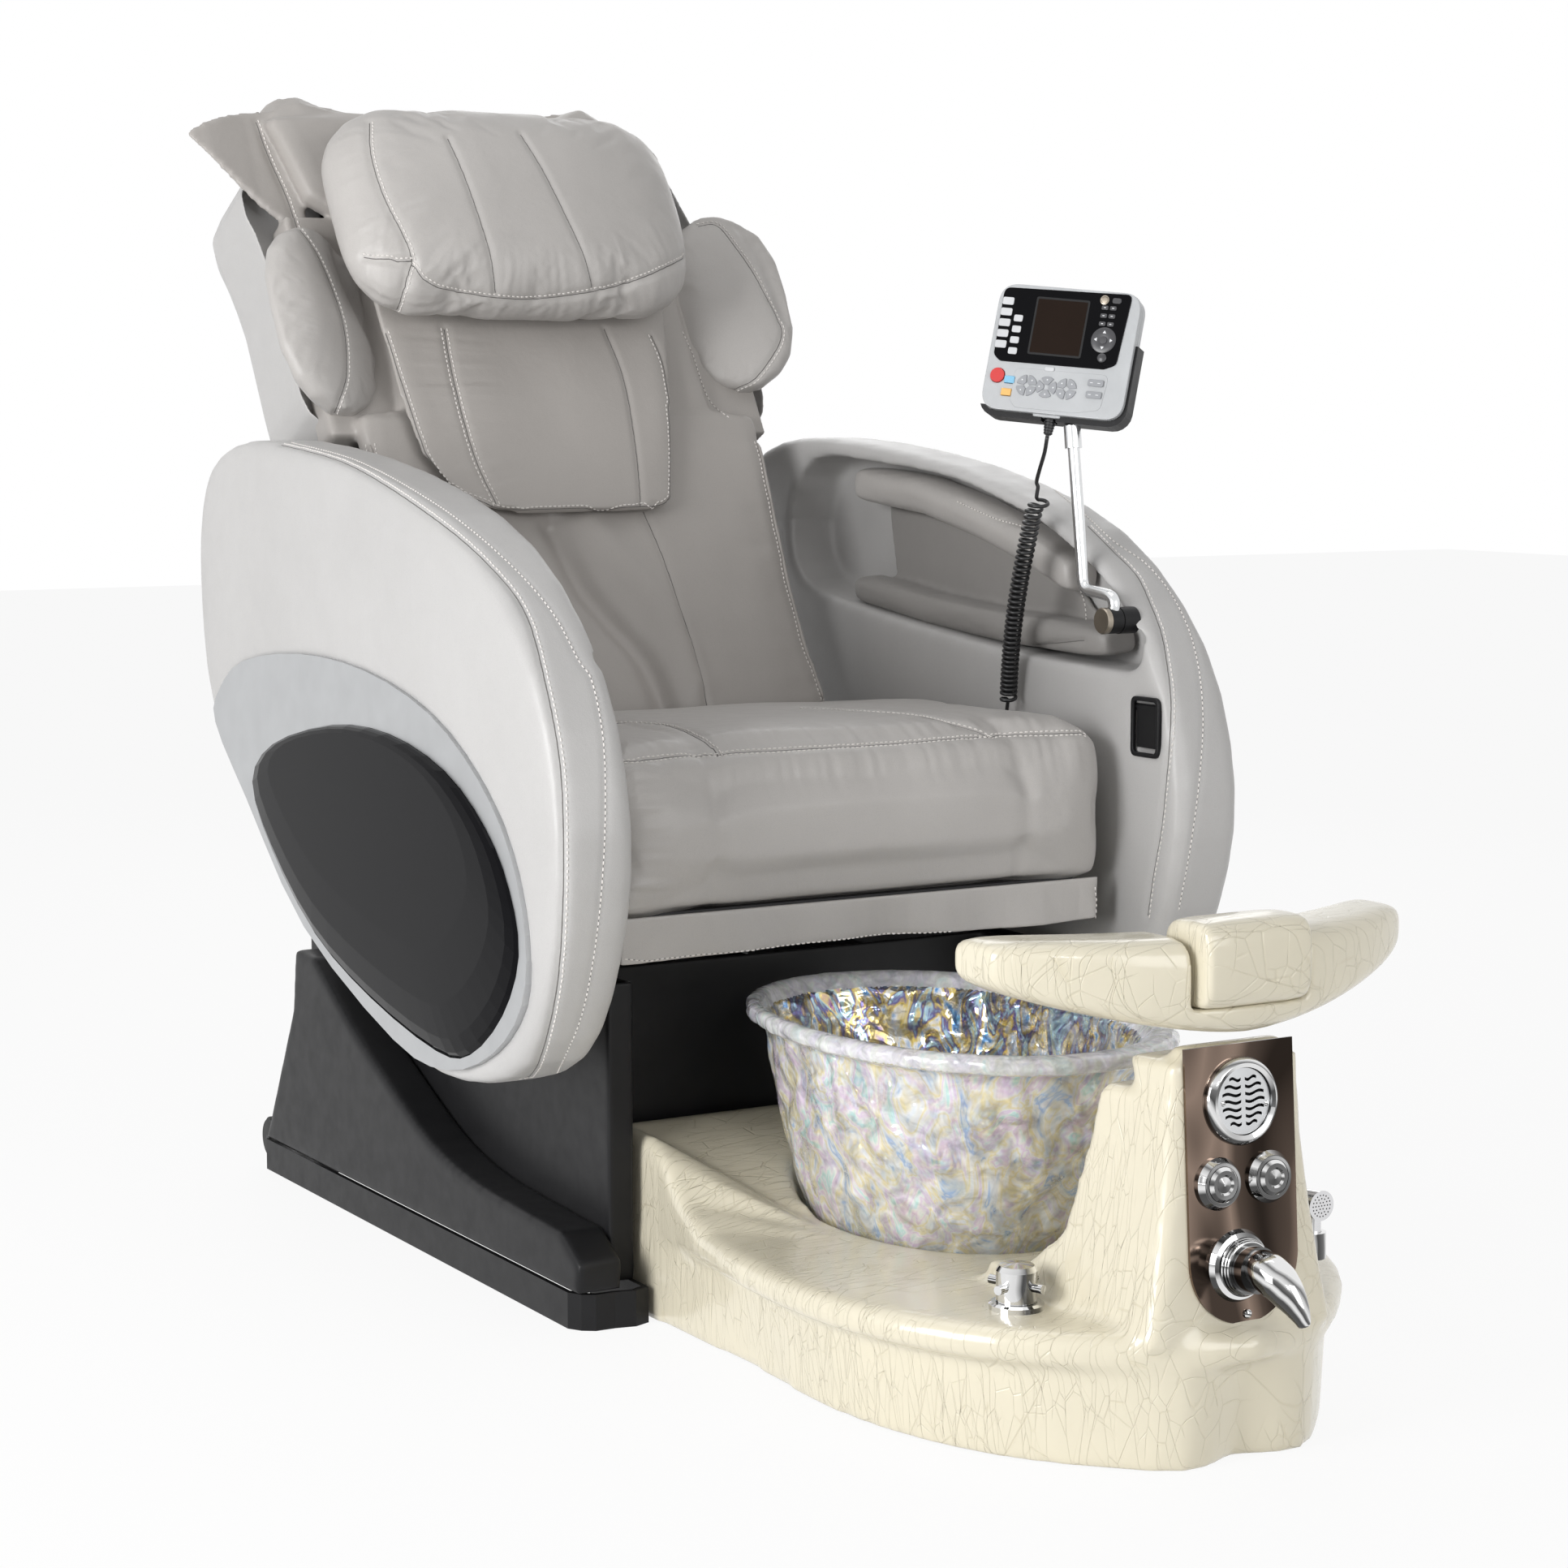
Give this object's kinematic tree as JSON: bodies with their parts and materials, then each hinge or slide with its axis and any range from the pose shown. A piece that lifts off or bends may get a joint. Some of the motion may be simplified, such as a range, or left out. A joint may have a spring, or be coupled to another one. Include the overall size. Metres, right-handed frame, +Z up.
{
  "type": "pedicure spa chair",
  "caption": "Reclining massage chair on a sliding carriage, with leatherette cushions, pod arms, a moulded foot tub with a glass bowl, a control tower and a cradled remote.",
  "frame": {"origin": "on the floor, at the middle of the chair base under the seat", "axes": "+Z up, -Y the way the sitter faces, +X the sitter's left"},
  "size_m": [0.906, 1.8587, 1.3921],
  "materials": {
    "black_plastic": "satin moulded plastic",
    "gloss_black": "high gloss black",
    "cream_gelcoat": "gloss moulded shell",
    "clear_glass": "polished clear glass",
    "mirror_panel": "polished plate",
    "chrome": "polished chrome",
    "silver_plastic": "silver lacquer",
    "silver_case": "silver lacquer",
    "grey_leather": "soft grained leatherette",
    "grey_shell": "leatherette-covered hard shell",
    "steel_frame": "powder coat",
    "steel_parts": "bright steel",
    "motor_case": "moulded",
    "wheel_rubber": "hard rubber",
    "massage_wood": "firm moulded",
    "keys_light": "moulded keys",
    "red": "moulded key",
    "blue": "moulded key",
    "amber": "moulded key",
    "cord_black": "extruded cord jacket"
  },
  "bodies": {
    "base": {"base_frame": "steel_frame", "base_skirt": "black_plastic", "base_inner_cover": "black_plastic", "base_cover_right": "gloss_black", "base_cover_left": "gloss_black", "slide_motor": "motor_case", "tub_shell": "cream_gelcoat", "bowl": "clear_glass", "bowl_strainer": "chrome", "control_panel": "mirror_panel", "vent_grille": "silver_plastic", "button_bezels": "chrome", "valve_body": "chrome", "diverter_flange": "chrome", "spray_holder": "chrome", "footrest_board": "cream_gelcoat"},
    "wheel_right": {"transport_wheel_right": "wheel_rubber"},
    "wheel_left": {"transport_wheel_left": "wheel_rubber"},
    "carriage": {"seat_frame": "steel_frame", "seat_cushion": "grey_leather", "seat_flap": "grey_leather", "arm_shell_right": "grey_shell", "arm_shell_left": "grey_shell", "arm_ring_right": "silver_plastic", "arm_ring_left": "silver_plastic", "arm_bubble_right": "gloss_black", "arm_bubble_left": "gloss_black", "arm_upper_pad_right": "grey_leather", "arm_upper_pad_left": "grey_leather", "arm_airbag_right": "grey_leather", "arm_airbag_left": "grey_leather", "pole_bracket": "black_plastic", "cord_coil": "cord_black"},
    "latch": {"latch_paddle": "black_plastic"},
    "back": {"back_frame": "steel_frame", "back_shell": "grey_shell", "back_pad": "grey_leather", "neck_flap": "grey_leather", "pillow": "grey_leather", "wing_pad_right": "grey_leather", "wing_pad_left": "grey_leather"},
    "massage": {"massage_carriage": "motor_case"},
    "rollers": {"massage_rollers": "massage_wood"},
    "recline_motor": {"recline_motor": "motor_case"},
    "recline_rod": {"recline_rod": "steel_parts"},
    "drain_button": {"drain_button": "chrome"},
    "power_button": {"power_button": "chrome"},
    "valve_hub": {"valve_hub": "chrome"},
    "valve_lever": {"valve_lever": "chrome"},
    "diverter": {"diverter_knob": "chrome"},
    "spray": {"spray_head": "chrome"},
    "footrest_pad": {"footrest_pad": "cream_gelcoat"},
    "pole": {"remote_pole": "steel_parts"},
    "holder": {"remote_holder": "black_plastic", "cord_lead": "cord_black"},
    "remote": {"remote_case": "silver_case", "remote_keypad": "keys_light"},
    "key_red": {"key_red": "red"},
    "key_blue": {"key_blue": "blue"},
    "key_amber": {"key_amber": "amber"}
  },
  "joints": [
    {"name": "wheel_spin_right", "type": "hinge", "parent": "base", "child": "wheel_right", "pos_m": [-0.327, 0.437, 0.038], "axis": [1, 0, 0], "continuous": true},
    {"name": "wheel_spin_left", "type": "hinge", "parent": "base", "child": "wheel_left", "pos_m": [0.327, 0.437, 0.038], "axis": [1, 0, 0], "continuous": true},
    {"name": "seat_slide", "type": "slide", "parent": "base", "child": "carriage", "axis": [0, 1, 0], "range_m": [-0.06, 0.1]},
    {"name": "latch_pull", "type": "hinge", "parent": "carriage", "child": "latch", "pos_m": [0.351, -0.539, 0.649], "axis": [0, 1, 0], "range_deg": [0, 35], "stiffness_Nm_per_rad": 0.3, "springref_deg": -11.46},
    {"name": "back_recline", "type": "hinge", "parent": "carriage", "child": "back", "pos_m": [0, 0.11, 0.5], "axis": [-1, 0, 0], "range_deg": [0, 30]},
    {"name": "massage_travel", "type": "slide", "parent": "back", "child": "massage", "axis": [0, 0.4695, 0.8829], "range_m": [0, 0.38]},
    {"name": "massage_knead", "type": "hinge", "parent": "massage", "child": "rollers", "pos_m": [0, 0.19674, 0.74835], "axis": [1, 0, 0], "continuous": true},
    {"name": "recline_motor_tilt", "type": "hinge", "parent": "carriage", "child": "recline_motor", "pos_m": [0, -0.23, 0.405], "axis": [1, 0, 0], "range_deg": [0, 2.2]},
    {"name": "recline_rod_slide", "type": "slide", "parent": "recline_motor", "child": "recline_rod", "axis": [0, 0.9973, 0.0733], "range_m": [-0.0355, 0]},
    {"name": "drain_press", "type": "slide", "parent": "base", "child": "drain_button", "axis": [0, 0.9976, -0.0698], "range_m": [0, 0.004], "stiffness_N_per_m": 300, "springref_m": -0.003},
    {"name": "power_press", "type": "slide", "parent": "base", "child": "power_button", "axis": [0, 0.9976, -0.0698], "range_m": [0, 0.004], "stiffness_N_per_m": 300, "springref_m": -0.003},
    {"name": "valve_turn", "type": "hinge", "parent": "base", "child": "valve_hub", "pos_m": [-0.008, -1.15959, 0.18972], "axis": [0, -0.9976, 0.0698], "range_deg": [-45, 45]},
    {"name": "valve_lift", "type": "hinge", "parent": "valve_hub", "child": "valve_lever", "pos_m": [-0.008, -1.21147, 0.19335], "axis": [-0.9659, -0.018, -0.2582], "range_deg": [0, 18]},
    {"name": "diverter_turn", "type": "hinge", "parent": "base", "child": "diverter", "pos_m": [-0.152, -1.004, 0.1393], "axis": [0, 0, 1], "range_deg": [-90, 90]},
    {"name": "spray_pull", "type": "slide", "parent": "base", "child": "spray", "axis": [0, 0, 1], "range_m": [0, 0.06]},
    {"name": "footrest_raise", "type": "slide", "parent": "base", "child": "footrest_pad", "axis": [0, 0, 1], "range_m": [0, 0.045]},
    {"name": "pole_swing", "type": "hinge", "parent": "carriage", "child": "pole", "pos_m": [0.326, -0.498, 0.747], "axis": [1, 0, 0], "range_deg": [0, 45]},
    {"name": "holder_swivel", "type": "hinge", "parent": "pole", "child": "holder", "pos_m": [0.327, -0.416, 0.964], "axis": [0, 0.1322, 0.9912], "range_deg": [-40, 60]},
    {"name": "remote_lift", "type": "slide", "parent": "holder", "child": "remote", "axis": [0.2512, 0.064, 0.9658], "range_m": [0, 0.05]},
    {"name": "red_press", "type": "slide", "parent": "remote", "child": "key_red", "axis": [0.785, 0.5703, -0.2419], "range_m": [0, 0.0012], "stiffness_N_per_m": 400, "springref_m": -0.0008},
    {"name": "blue_press", "type": "slide", "parent": "remote", "child": "key_blue", "axis": [0.785, 0.5703, -0.2419], "range_m": [0, 0.0012], "stiffness_N_per_m": 400, "springref_m": -0.0008},
    {"name": "amber_press", "type": "slide", "parent": "remote", "child": "key_amber", "axis": [0.785, 0.5703, -0.2419], "range_m": [0, 0.0012], "stiffness_N_per_m": 400, "springref_m": -0.0008}
  ],
  "couplings": [
    {"joint": "recline_motor_tilt", "follows": "back_recline", "ratio": 0.066},
    {"joint": "recline_rod_slide", "follows": "back_recline", "m_per_rad": -0.0655}
  ]
}
